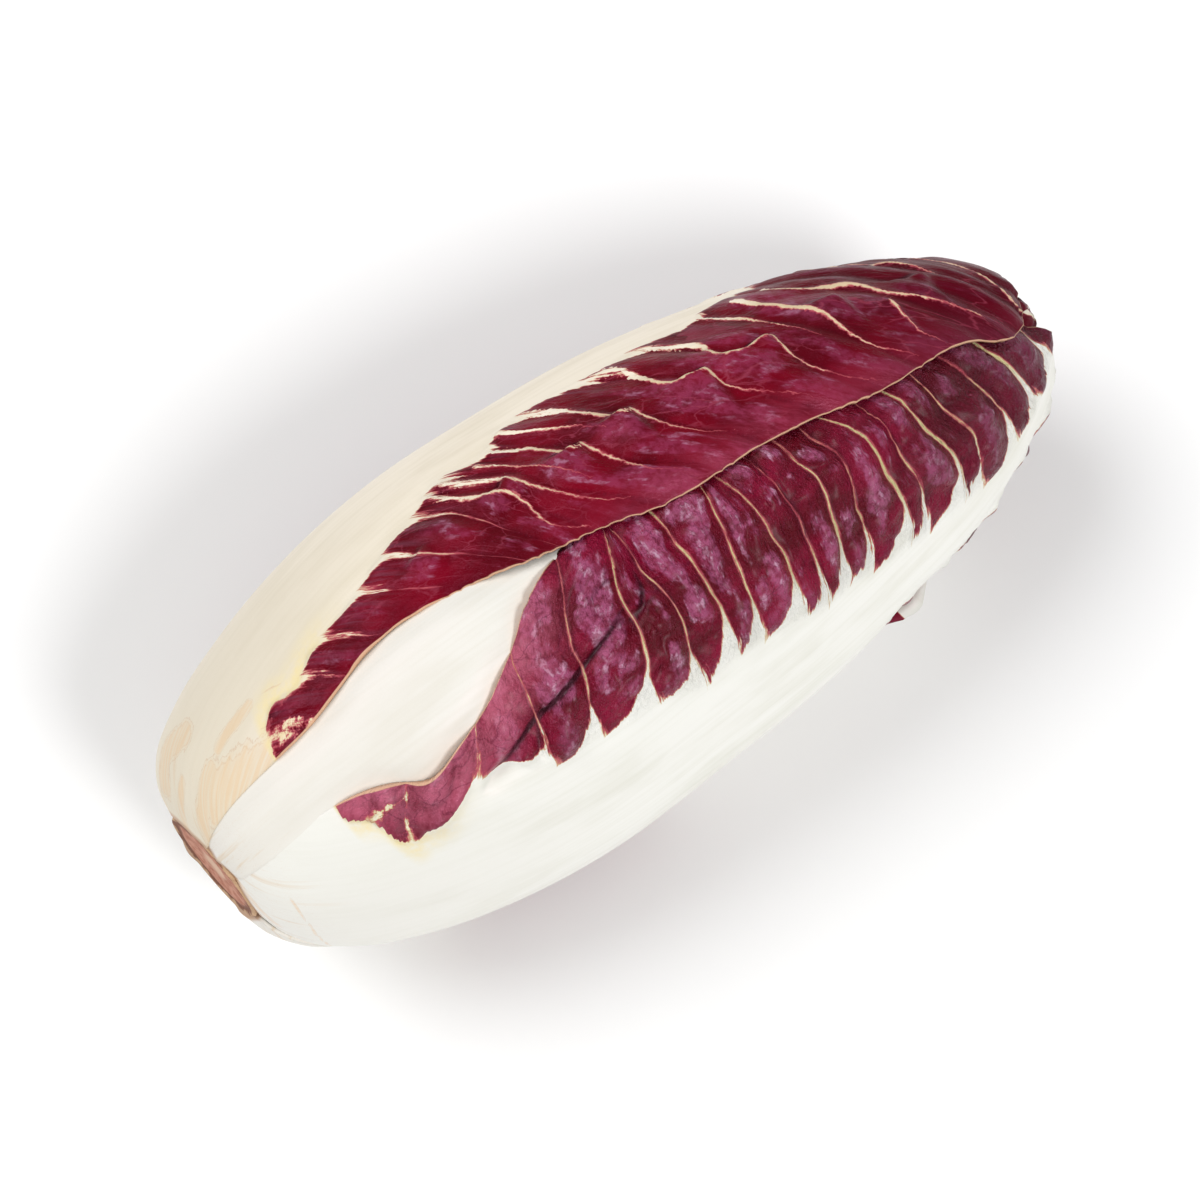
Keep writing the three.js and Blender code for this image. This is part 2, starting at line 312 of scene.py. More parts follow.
# %% [markdown]
# ## Relief
# Light finds a leaf's form in its relief: a raised vein, a blade that bulges between two veins, fine
# ripples across the bulge. Grid noise with a long and a short side gives the ripples. It is seeded, so
# each run makes the same leaf.

# %% Smooth grid noise, and the distance to a drawn fold
NOISE_CELLS = 64


def ripples(x, y, long, short, seed):
    """Noise from -1 to 1 whose bumps are about long mm along x and short mm along y."""
    draw = np.random.default_rng(seed)
    table = draw.uniform(-1, 1, (NOISE_CELLS, NOISE_CELLS))
    u, v = x / long, y / short
    iu, iv = np.floor(u).astype(int), np.floor(v).astype(int)
    fu, fv = smooth(u - iu), smooth(v - iv)

    def corner(a, b):
        return table[(iu + a) % NOISE_CELLS, (iv + b) % NOISE_CELLS]

    low = corner(0, 0) * (1 - fu) + corner(1, 0) * fu
    high = corner(0, 1) * (1 - fu) + corner(1, 1) * fu
    return low * (1 - fv) + high * fv


def line_distance(points, m, across):
    """Signed distance in mm to a drawn line, and how far along it the nearest point is, 0 to 1."""
    best = np.full(len(m), np.inf)
    signed, along = np.zeros(len(m)), np.zeros(len(m))
    for i, ((m0, w0), (m1, w1)) in enumerate(zip(points, points[1:])):
        run = np.array([m1 - m0, w1 - w0])
        t = np.clip(((m - m0) * run[0] + (across - w0) * run[1]) / run.dot(run), 0, 1)
        gap = np.hypot(m - m0 - t * run[0], across - w0 - t * run[1])
        turn = np.sign(run[0] * (across - w0) - run[1] * (m - m0))
        near = gap < best
        best = np.where(near, gap, best)
        signed = np.where(near, gap * turn, signed)
        along = np.where(near, (i + t) / (len(points) - 1), along)
    return signed, along


def softened(points):
    """A smooth line through a few points, with five short stretches between each two."""
    count = len(points) - 1
    fine = np.linspace(0, count, 5 * count + 1)
    return np.stack([curve(list(enumerate(column)))(fine) for column in zip(*points)], -1)


print("noise at the origin:", float(ripples(np.zeros(1), np.zeros(1), 9, 9, 1)[0]).__round__(3))

# %% [markdown]
# ## Folds
# Two sorts of fold break the regular pattern. A crease is a valley pressed into the blade. A step is a
# place where the blade drops off sharply toward the rib and slopes away gently toward the margin. It is
# highest near its far end, where a side vein climbs over it.

# %% Folds drawn on the two upper leaves: points (m, out from the rib), height in mm, width, other width
TOP_FOLDS = [
    ([(93, 28), (98, 29.5), (102, 30), (106.5, 29.3)], 2.1, 7, 0.8),
    ([(107, 28), (113, 28.6), (117.5, 28.2)], 2.1, 7, 0.8),
    ([(120, 27), (126, 28), (130, 27.8), (134, 27.6)], 2.2, 7, 0.8),
    ([(133, 25.6), (138, 26.2), (143, 25.8), (148.5, 24.6)], 2.3, 7, 0.9),
    ([(82, 29), (87, 29.6), (92, 28)], 1.5, 5, 0.8),
    ([(152, 19), (158, 20), (165, 18.5)], 1.6, 6, 0.9),
    ([(170, 14), (176, 15.5), (184, 14)], 1.5, 6, 0.9),
    ([(62, 31), (67, 31.5), (72, 30)], 1.0, 4, 0.8),
]
FRONT_FOLDS = [
    ([(57, 28.5), (66, 33), (71, 35), (80, 37.5), (88, 40), (95, 42.5)], -2.2, 0.9, 1.8),
    ([(93, 38), (98, 42), (99, 47)], -1.7, 1.1, 1.8),
    ([(88, 46), (92, 48), (97, 47)], -1.3, 1.0, 1.4),
    ([(90, 41), (95, 39.5), (101, 41)], -1.4, 0.9, 1.4),
    ([(84, 47), (88, 51), (94, 53)], -1.0, 1.0, 1.4),
    ([(44, 27), (49, 29), (53, 34)], -0.9, 0.9, 1.2),
    ([(66, 27), (68, 31), (70, 35)], -1.2, 0.9, 1.2),
]


def folded(folds, m, across):
    """Relief of the folds in mm, the painted shade at each one's foot, and the painted highlight on top of a
    step.
    """
    total, dark, shine = np.zeros(len(m)), np.zeros(len(m)), np.zeros(len(m))
    for points, height, width, other in folds:
        signed, along = line_distance(softened(points), m, across)
        reach = np.where(signed > 0, width, other)
        crease = np.sin(np.pi * (0.12 + 0.76 * along)) ** 0.7
        step = smooth(1.2 * along) * smooth((1.03 - along) / 0.2)
        window = step if height > 0 else crease
        total += height * np.exp(-((signed / reach) ** 2)) * window
        foot = 1.5 * other if height > 0 else 0.0
        # painted shade along the foot of a step and down the middle of a crease
        dark = np.maximum(dark, abs(height) * np.exp(-(((signed + foot) / 0.75) ** 2)) * window)
        if height > 0:
            # a painted highlight on the top of each step
            shine = np.maximum(shine, np.exp(-(((signed - 2.4) / 2.2) ** 2)) * window)
    return total, dark, shine


print(len(TOP_FOLDS), "steps and", len(FRONT_FOLDS), "creases")

# %% [markdown]
# ## Lines and marks drawn by hand
# Where the veins of the top leaf cross its steps they jump aside, and no rule gives that. They are drawn
# as lines instead, and each thins out toward the margin. A mesh can only carry a thin line as a distance,
# because a distance changes evenly from corner to corner, while a colour would smear. Scars are broad,
# soft strokes on the rib.

# %% Veins drawn across the steps: points (m, out from the rib), half width at the start and at the end
TOP_LINES = [
    ([(86, 13.5), (90, 17), (94.4, 21.2), (98, 23.6), (100.8, 27.2), (103.7, 29.9)], 0.8, 0.25),
    ([(106, 29.5), (108, 34), (110.7, 38.6), (114, 42), (118, 44)], 0.34, -0.2),
    ([(96, 10), (100, 13.4), (104.8, 17.5), (109, 21.7), (112.6, 26.7), (115.3, 29)], 0.95, 0.25),
    ([(117.3, 28.3), (119.8, 33.5), (124.4, 38.3), (129.3, 40.4)], 0.36, -0.2),
    ([(104.4, 11.5), (114.6, 14.7), (120.7, 17.1), (123.4, 22.5), (126.2, 26.9), (133, 27.7)], 0.95, 0.3),
    ([(133, 27.7), (134.3, 31.4), (137.7, 34.5), (145.5, 38.8)], 0.36, -0.2),
    ([(120, 9), (126.2, 12.5), (131.9, 16.7), (135.9, 19.6), (138.2, 25.6), (147.7, 24.6)], 0.9, 0.3),
    ([(147.7, 24.6), (149, 30.8), (154.5, 36.5), (160, 39)], 0.36, -0.2),
    ([(92, 13), (97.8, 18.2), (103.5, 22.7), (107, 25), (110.5, 28.8)], 0.4, -0.1),
    ([(88.5, 21), (92.4, 24.7), (96.5, 28.9), (99.6, 33), (102.6, 36.7)], 0.2, -0.15),
    ([(79, 17), (84, 23), (91.2, 28.1), (94, 32.8), (97.6, 37.3), (101.5, 41.3), (105.7, 43.5)], 0.7, -0.15),
    ([(75, 17), (82, 26), (88.8, 30.4), (90.6, 34), (91, 38.3), (92.8, 41.8), (97, 44.3)], 0.6, -0.15),
    ([(136, 7), (142, 12.5), (147, 17), (151, 22), (155, 27)], 0.9, -0.2),
    ([(148, 11), (153, 17), (158, 22), (160.7, 28), (163.5, 32), (169, 34.5)], 0.8, -0.15),
    ([(155, 8), (160, 12), (165, 13.6), (170, 15), (173, 19), (179, 21.2), (187, 24.5)], 0.95, 0.0),
    ([(172, 22), (172.9, 29.5), (176, 32)], 0.3, -0.15),
    ([(165, 0.5), (171, 1.3), (174, 5.9), (180, 6.2), (186, 12)], 0.8, 0.0),
    ([(186, 3), (194, 8), (198, 16.7), (200.5, 18.5), (204, 23)], 0.5, 0.0),
    ([(46, 39), (40, 37.4), (36.5, 36), (34, 33.6), (30.5, 30.6)], 0.1, 0.35),
]
TOP_DRAWN = (6.6, 22.0)
FRONT_LINES = [([(33.5, 27), (35.5, 29.4), (38, 30.6), (41, 31.2)], 1.3, 0.0)]
FAR = 3.0
NEAR = 1.3


def line_fields(lines, m, across):
    """Signed distance in mm to the nearest drawn line, and its half width there, or -FAR away from it."""
    nearest, width = np.full(len(m), FAR), np.full(len(m), -FAR)
    for points, start, end in lines:
        signed, along = line_distance(softened(points), m, across)
        signed = np.clip(signed, -FAR, FAR)
        closer = np.abs(signed) < np.abs(nearest)
        nearest = np.where(closer, signed, nearest)
        width = np.where(closer & (np.abs(signed) < NEAR), start + (end - start) * along**0.8, width)
    return nearest, width


def stroke_field(strokes, m, out):
    """1 along broad strokes, 0.5 at each one's own half width, 0 beyond twice that. out is signed."""
    total = np.zeros(len(m))
    for points, width in strokes:
        gap = np.abs(line_distance(points, m, out)[0])
        total = np.maximum(total, np.clip(1 - gap / (2 * width), 0, 1))
    return total


print(len(TOP_LINES), "drawn veins")

# %% [markdown]
# ## Relief above the smooth sheet
# A pillow is the size of noise without its sign: round on top, with sharp valleys where the sign turns.
# That is how a blade puckers between its veins.

# %% A leaf's relief above its smooth sheet
VEIN_RISE = 0.5
RIB_RISE = 0.4
RIB_RIPPLE = 0.12


def relief(look, m, across, pattern, part, white):
    """mm outward: the veins, the blade between them, and the rib. look holds that leaf's own amounts."""
    seed = look["seed"]
    phase, spacing = pattern["phase"], pattern["spacing"]
    to_vein = np.minimum(part, 1 - part) * spacing
    width = np.maximum(pattern["vein"], 0)
    ridge = np.exp(-((to_vein / (width + 0.45)) ** 2)) * np.minimum(0.3 + width / 0.6, 1.4)
    drawn_width = np.maximum(pattern["line_width"], 0) + 0.5
    drawn = np.exp(-((pattern["line"] / drawn_width) ** 2)) * smooth((pattern["line_width"] + 0.4) / 0.6)
    dome = np.sin(np.pi * part) ** 0.7
    uneven = 0.65 + 0.5 * ripples(m, across, 19, 13, seed + 4)
    bulge = look["bulge"] * dome * np.minimum(spacing / 8, 1.4) * uneven
    along_vein = across + 3 * ripples(m, across, 11, 9, seed + 12)
    big = np.abs(ripples(along_vein, phase * 8, look["ripple"], 6.5, seed))
    small = np.abs(ripples(along_vein, phase * 8 + 0.6 * across, look["ripple"] * 0.42, 3.2, seed + 1))
    pillow = look["crumple"] * (0.75 * big + 0.32 * small) * dome
    swell = look["swell"] * 0.5 * ripples(m, across, 34, 20, seed + 2)
    blade = (1 - white) * (VEIN_RISE * np.maximum(ridge, drawn) + bulge + pillow + swell)
    rib = white * (RIB_RISE + RIB_RIPPLE * ripples(m, across, 40, 7, seed + 3))
    crest = np.clip((bulge + pillow) / (look["bulge"] + 0.55 * look["crumple"]), 0, 1.2)
    return blade + rib, crest


print("a full vein rises", VEIN_RISE, "mm")

# %% [markdown]
# ## One leaf as a mesh
# A grid is the natural start: its two directions are the leaf's length and width. Solidify gives it a
# second face and a closed rim while it is still flat, and then every corner is carried to its place on
# the head. A sheet this thin and this often curved would be slow to shape face by face.

# %% A flat sheet with two faces
def flat_sheet(name, rows, columns):
    """A closed flat sheet two units square. Its corners carry u, t and which face they belong to."""
    bpy.ops.mesh.primitive_grid_add(x_subdivisions=rows, y_subdivisions=columns, size=2)
    sheet = bpy.context.object
    sheet.name = sheet.data.name = name
    wall = sheet.modifiers.new("wall", "SOLIDIFY")
    wall.thickness = 0.2
    wall.offset = -1
    bpy.ops.object.modifier_apply(modifier="wall")
    corners = np.zeros(len(sheet.data.vertices) * 3, np.float32)
    sheet.data.vertices.foreach_get("co", corners)
    corners = corners.reshape(-1, 3).astype(float)
    return sheet, corners[:, 0], corners[:, 1], corners[:, 2] > -0.1


print("a sheet of 2 by 2 squares would have", 2 * 9, "corners on its two faces")

# %% [markdown]
# ## Where each corner lies
# The sheet's length becomes the station and its width the angle, from one margin to the other. The real
# margin wanders and has small teeth, so the angle shifts a little near it.

# %% Corners laid out on the leaf
TOOTH_PITCH = 2.9


def lay_out(leaf, seed, u, t):
    """Each corner's station, angle, side, and its mm out from the rib's middle and inward from the margin."""
    m = (u + 1) / 2 * leaf.tip
    side = np.where(t < 0, -1, 1)
    radius = skin_radius(m)
    tooth = (1 - np.abs(np.sin(np.pi * m / TOOTH_PITCH + 4 * ripples(m, m, 17, 17, seed + 5)))) ** 1.5
    tooth = tooth * (0.5 + 0.5 * ripples(m, m * 0, 5, 5, seed + 7))
    wander = 0.7 * ripples(m, m * 0, 14, 14, seed + 6) + 0.12 * ripples(m, m * 0, 2.6, 2.6, seed + 13)
    ragged = (0.4 * tooth + wander) * smooth((m - 40) / 25) * smooth((leaf.tip - m) / 8) * np.abs(t) ** 14
    phi = leaf.turn + t * leaf.half_width(m, side) + side * np.degrees(ragged / radius)
    off = phi - leaf.turn
    across = np.abs(np.radians(off)) * radius
    inward = np.maximum(np.radians(leaf.half_width(m, side) - np.abs(off)) * radius + ragged, 0)
    return m, phi, side, across, inward


print("one tooth every", TOOTH_PITCH, "mm of margin")

# %% [markdown]
# ## The leaf's pattern
# The veins, the edge of the red and the white funnels are worked out once and used twice, by the relief
# and by the finish, so that colour and form always agree.

# %% Veins, red and funnels of one leaf
def leaf_pattern(look, m, across, side):
    """The fields that relief and finish share, by name, and how far each corner is between two veins."""
    seed = look["seed"]
    phase, spacing, vein, part, red = (np.zeros(len(m)) for _ in range(5))
    sides = ((-1, look["less_veins"], look["less_red"]), (1, look["more_veins"], look["more_red"]))
    for number, veins, red_edge in sides:
        here = side == number
        warp = look["wave"] * ripples(m[here], across[here], 24, 9, seed + 8 + number)
        warp += 0.35 * ripples(m[here], across[here], 4.5, 3.5, seed + 15 + number)
        phase[here], spacing[here], vein[here], part[here] = vein_fields(veins, m[here] + warp, across[here])
        uneven = 1.6 * ripples(m[here], across[here] * 0, 9, 9, seed + 20 + number)
        red[here] = across[here] - curve(red_edge)(m[here]) + uneven
    on_side = side == look["fold_side"]
    root = 1 + 1.5 * np.exp(-np.maximum(red, 0) / 6)
    vein = look["vein"] * vein * root - look["fade"] * smooth((across - 14) / 30)
    vein = vein * (1 + 0.45 * ripples(phase * 40, across, 9, 4, seed + 30))
    first, last = look["drawn"]
    by_hand = smooth((phase - first) / 0.3) * smooth((last - phase) / 0.3) * smooth((red - 2) / 4)
    vein = vein - 2 * np.where(on_side, by_hand, 0)
    line, line_width = line_fields(look["lines"], m, np.where(on_side, across, -40))
    lobe = np.maximum(curve(look["lobe"])(m), 0.8)
    funnel = np.clip(1 - red / lobe, 0, 1) ** look["funnel"]
    pattern = dict(phase=phase, spacing=spacing, vein=vein, red=red, funnel=funnel, line=line)
    return pattern | dict(line_width=line_width), part


print("two sides a leaf, each with its own veins")

# %% [markdown]
# ## The two faces
# The outer face takes the relief. The inner one stays smooth, except where the outer face sinks. Under an
# older leaf there is little room, so the relief shrinks there. The margin is thinner than the blade and
# pressed to the leaf below, and a curled bit of margin is folded back, so it is thick.

# %% How deep each face lies
MARGIN_PRESS = 0.3
MARGIN_THINNER = 0.55
CURL_FOLD = 0.75
DEEPEST_DENT = -0.6


def faces(leaf, look, corners, pattern, part):
    """Depth under the skin of the outer and inner face, in mm, the crests, and the painted shade at the feet
    of folds.
    """
    m, phi, side, across, inward = corners
    on_side = side == look["fold_side"]
    white = smooth(pattern["funnel"] * 1.2 - 0.1)
    raised, crest = relief(look, m, across, pattern, part, white)
    folds, dark, shine = folded(look["folds"], m, across)
    # a step's top gets a higher crest, so more painted highlight and less painted shade there
    crest = crest + 0.5 * np.where(on_side, shine, 0)
    raised = raised + np.where(on_side, folds, 0)
    # how many mm each corner is clear of the older leaves, which leave little room for relief
    clear = np.full(len(m), 40.0)
    for older in leaves[:leaf.index]:
        clear = np.minimum(clear, older.beyond(np.minimum(m, older.tip), phi))
    shown = smooth(clear / 5 + 0.25)
    raised = np.where(raised > 0, raised * (0.3 + 0.7 * shown), np.maximum(raised * shown, DEEPEST_DENT))
    off_floor = smooth((np.abs((phi + 360) % 360 - 180) - 24) / 12) if leaf.index == 0 else 1.0
    raised = raised * off_floor
    # the fill lifts a leaf into the room between its neighbours, most near the cut, where all are fused
    depth = depth_of(leaf.index, m, phi)
    if look["fill"]:
        base = 1 - smooth((m - 20) / 26)
        room = np.clip(depth - 1.05 + 0.9 * base, 0, 4) * (1 - 0.35 * smooth((m - 70) / 12))
        under_edge = smooth((clear + 2.5 + 2 * base) / 2.5)
        raised = raised + look["fill"] * (room * under_edge + 0.9 * smooth(clear / 6))
    # the margin flares out unevenly, is pressed down and is thin
    depth = depth + leaf.hollow(m, phi) - leaf.lift(m, phi)
    flare = look["flare"] * (0.55 + 0.45 * ripples(m, across * 0, 13, 13, look["seed"] + 9))
    flare = flare * (1 - smooth(inward / 7)) * smooth((m - 45) / 20) * shown * off_floor
    press = (1 - smooth(inward / 5)) * off_floor
    low = 1 - smooth((m - 20) / 50)
    over = np.where(on_side, MARGIN_PRESS * (2 - low), MARGIN_PRESS * (2 + 1.4 * low))
    thick = leaf.thickness(m, phi) + CURL_FOLD * leaf.lift(m, phi)
    face = depth - raised - flare + over * press
    back = depth - np.minimum(raised, 0) - flare + (over - MARGIN_THINNER) * press + thick
    return face, back, crest, np.where(on_side, dark, 0)


print("the margin is", MARGIN_THINNER, "mm thinner than the blade")

# %% [markdown]
# ## The sheet put on the head
# The fields go along as attributes, so a finish can read them, and the UV map holds the leaf's own
# millimetres, a hundred to the unit.

# %% Build a leaf
UV_SPAN = 100.0


def leaf_piece(leaf, look, rows, columns):
    sheet, u, t, outer = flat_sheet(leaf.name + "_blade", rows, columns)
    mesh = sheet.data
    corners = lay_out(leaf, look["seed"], u, t)
    m, phi, side, across, inward = corners
    pattern, part = leaf_pattern(look, m, across, side)
    face, back, crest, dark = faces(leaf, look, corners, pattern, part)
    place = head_point(m, phi, np.where(outer, face, back))
    mesh.vertices.foreach_set("co", place.astype(np.float32).ravel())

    scar = stroke_field(look["scars"], m, across * side)
    edge = inward + leaf.lift(m, phi)
    # the painted shade at the feet of folds goes along as a field too
    fields = pattern | dict(edge=edge, station=m, out=across, crest=crest, fold_shade=dark, scar=scar)
    for name, values in fields.items():
        mesh.attributes.new(name, "FLOAT", "POINT").data.foreach_set("value", values.astype(np.float32))
    corner = np.zeros(len(mesh.loops), np.int32)
    mesh.loops.foreach_get("vertex_index", corner)
    uv = np.stack([m, across * side], -1)[corner] / UV_SPAN
    mesh.uv_layers[0].data.foreach_set("uv", uv.astype(np.float32).ravel())
    bpy.ops.object.shade_smooth()
    sheet.select_set(False)
    mesh.update()
    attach(sheet, "root")
    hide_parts(leaf.name)
    print(sheet.name, len(mesh.polygons) * 2, "triangles")
    return sheet


print("the UV map counts", UV_SPAN, "mm to the unit")

# %% [markdown]
# ## The leaves, from the outside in
# The top leaf has veins that run low along the blade and ripple it. The front leaf's veins go straight
# across and its panels are crumpled and glossy. The others follow the plain rule. The leaf that shows
# between the two upper ones, and one on the far side, fill the room under their neighbours' edges.

# %% Make the eight leaves
PLAIN_LOBE = [(0, 3), (60, 5), (100, 8), (214, 6)]
TOP_LOBE = [(0, 1.5), (60, 2.5), (100, 4.5), (150, 5), (214, 4)]
FRONT_LOBE = [(0, 0.8), (54, 1.5), (66, 5), (80, 8.5), (214, 8)]
CURL_RED = [(0, 62), (24, 60), (32, 40), (120, 37), (140, 33), (145.5, 36), (149, 60), (157, 60),
            (161, 30), (167, 18), (178, 1), (190, -6), (214, -10)]
TOP_SCARS = [([(12, -22), (20, -28), (28, -34.5)], 4.2), ([(2, -17), (9, -18.5), (16, -20)], 1.7),
             ([(7, -4), (12, -3), (17, -9)], 2.6), ([(1, -9), (10, -12)], 1.0),
             ([(20, -20), (29, -22)], 1.1)]
FRONT_SCARS = [([(12.5, 14), (13.2, 4), (15, -5)], 0.28), ([(8, 23), (14, 30), (18, 31)], 1.9),
               ([(1, 10), (5, 2)], 1.2)]
PLAIN_LOOK = dict(less_red=PLAIN_RED, more_red=PLAIN_RED, bulge=0.8, crumple=1.1, ripple=7.0, swell=0.8,
                  lobe=PLAIN_LOBE, funnel=2.0, wave=1.2, vein=0.5, fade=0.2, flare=0.3, fill=0.0, folds=(),
                  lines=(), drawn=(99, 99), fold_side=0, scars=())
LOOKS = {
    "leaf_1": dict(seed=11, more_red=CURL_RED),
    "leaf_2": dict(seed=22, less_veins=TOP_VEINS, less_red=TOP_RED, more_red=TOP_RED, bulge=0.9, ripple=10.0,
                   lobe=TOP_LOBE, funnel=1.8, wave=2.2, fade=0.6, folds=TOP_FOLDS, lines=TOP_LINES,
                   drawn=TOP_DRAWN, fold_side=-1, scars=TOP_SCARS),
    "leaf_3": dict(seed=33, more_veins=FRONT_VEINS, less_red=FRONT_LESS_RED, more_red=FRONT_RED, bulge=1.1,
                   crumple=2.6, lobe=FRONT_LOBE, funnel=2.2, vein=0.42, flare=0.1, folds=FRONT_FOLDS,
                   lines=FRONT_LINES, fold_side=1, scars=FRONT_SCARS),
    "leaf_4": dict(seed=44, fill=0.8),
    "leaf_5": dict(seed=55, fill=0.95),
    "leaf_6": dict(seed=66),
    "leaf_7": dict(seed=77),
    "leaf_8": dict(seed=88),
}
UPPER_GRID = (340, 140)
GRIDS = {"leaf_1": (180, 96), "leaf_2": UPPER_GRID, "leaf_3": UPPER_GRID, "leaf_4": (150, 72),
         "leaf_5": (160, 110)}
HIDDEN_GRID = (110, 56)

blades = {}
for leaf in leaves:
    own = LOOKS[leaf.name]
    veins = dict(less_veins=plain_veins(own["seed"]), more_veins=plain_veins(own["seed"] + 50))
    blades[leaf.name] = leaf_piece(leaf, PLAIN_LOOK | veins | own, *GRIDS.get(leaf.name, HIDDEN_GRID))
print(len(blades), "leaves")

# %% [markdown]
# ## Colour and nodes
# Colours are picked as sRGB hex values and turned to linear by one function. One more function adds a
# node with its settings and links, and gives back the output that the next node needs. SMOOTH and TINT
# are the settings that repeat: a range with soft ends, and a mix of two colours.

# %% Two helpers for every finish
SMOOTH = {"interpolation_type": "SMOOTHSTEP"}
TINT = {"data_type": "RGBA", "out": 2}


def hex_colour(code):
    parts = [int(code[i:i + 2], 16) / 255 for i in (1, 3, 5)]
    return tuple(c / 12.92 if c <= 0.04045 else ((c + 0.055) / 1.055) ** 2.4 for c in parts) + (1.0,)


def add(tree, kind, inputs=(), out=0, **settings):
    """Add a node. inputs is a list in socket order or a dict, of sockets to link or of plain values."""
    node = tree.nodes.new("ShaderNode" + kind)
    for key, value in settings.items():
        setattr(node, key, value)
    pairs = inputs.items() if isinstance(inputs, dict) else enumerate(inputs)
    for socket, value in pairs:
        if isinstance(value, bpy.types.NodeSocket):
            tree.links.new(value, node.inputs[socket])
        else:
            node.inputs[socket].default_value = value
    return node.outputs[out] if node.outputs else None


def new_finish(name):
    material = bpy.data.materials.new(name)
    material.use_nodes = True
    material.node_tree.nodes.clear()
    return material, material.node_tree


print("burgundy in linear light:", [round(c, 3) for c in hex_colour("#7b0526")[:3]])

# %% [markdown]
# ## The leaf finish, 1: what it reads
# On the real leaf one skin changes from a thick, white, satin rib to a thin wine-red blade with a
# soft waxy shine. The finish reads the leaf's fields, and grain of many sizes. Some grain lies along the
# leaf, like the fibres of the rib. Some lies along the side veins, like the streaks and wrinkles of the
# blade. Each row of the table gives a grain its direction, its two sizes in mm, its detail and roughness.

# %% Fields and grains
FIELDS = ("phase", "spacing", "vein", "funnel", "edge", "station", "out", "crest", "fold_shade", "line",
          "line_width", "scar", "red")
GRAINS = {"feather": ("veins", 5.0, 0.7, 4, 0.7), "finger": ("veins", 16.0, 1.5, 2, 0.5),
          "reach": ("veins", 30.0, 2.4, 1, 0.5), "mottle": ("veins", 8.0, 3.6, 4, 0.72),
          "sheen_streak": ("veins", 16.0, 1.5, 4, 0.6), "wrinkle": ("veins", 2.8, 1.8, 4, 0.6),
          "waver": ("leaf", 1.6, 1.6, 3, 0.6), "patch": ("leaf", 3.4, 2.8, 4, 0.7),
          "fibre": ("leaf", 70.0, 1.1, 3, 0.55), "cloud": ("leaf", 34.0, 9.0, 3, 0.6),
          "stain": ("leaf", 30.0, 2.2, 3, 0.6), "ragged": ("leaf", 6.0, 2.2, 4, 0.7),
          "thread": ("leaf", 14.0, 0.8, 4, 0.55), "tone": ("leaf", 18.0, 10.0, 4, 0.6),
          "speckle": ("leaf", 0.6, 0.6, 3, 0.7), "sheen": ("leaf", 8.0, 5.0, 4, 0.55),
          "fine": ("leaf", 1.5, 1.5, 3, 0.6), "skin": ("leaf", 0.5, 0.5, 2, 0.5)}
PHASE_MM = 8.0


def leaf_fields(tree):
    """Every field and grain of a leaf as node outputs, by name."""
    read = {name: add(tree, "Attribute", out="Fac", attribute_name=name) for name in FIELDS}
    span = (UV_SPAN, UV_SPAN, 1)
    leaf_map = add(tree, "VectorMath", [add(tree, "UVMap", uv_map="UVMap"), span], operation="MULTIPLY")
    phase_mm = add(tree, "Math", [read["phase"], PHASE_MM], operation="MULTIPLY")
    vein_map = add(tree, "CombineXYZ", [read["out"], phase_mm])
    for name, (direction, long, short, detail, roughness) in GRAINS.items():
        place = vein_map if direction == "veins" else leaf_map
        scaled = add(tree, "VectorMath", [place, (1 / long, 1 / short, 1)], operation="MULTIPLY")
        inputs = {"Vector": scaled, "Scale": 1.0, "Detail": detail, "Roughness": roughness}
        read[name] = add(tree, "TexNoise", inputs)
    read["vein_map"] = vein_map
    return read


print(len(FIELDS), "fields and", len(GRAINS), "grains")

# %% [markdown]
# ## The leaf finish, 2: where the red is
# One number says how many mm a spot lies inside the red, below zero on the white. It starts from the
# distance to the vein on either side, less the vein's width and the white funnel at its root. Streaks
# feather it near the rib, and the end of the red near the cut breaks up into blots.

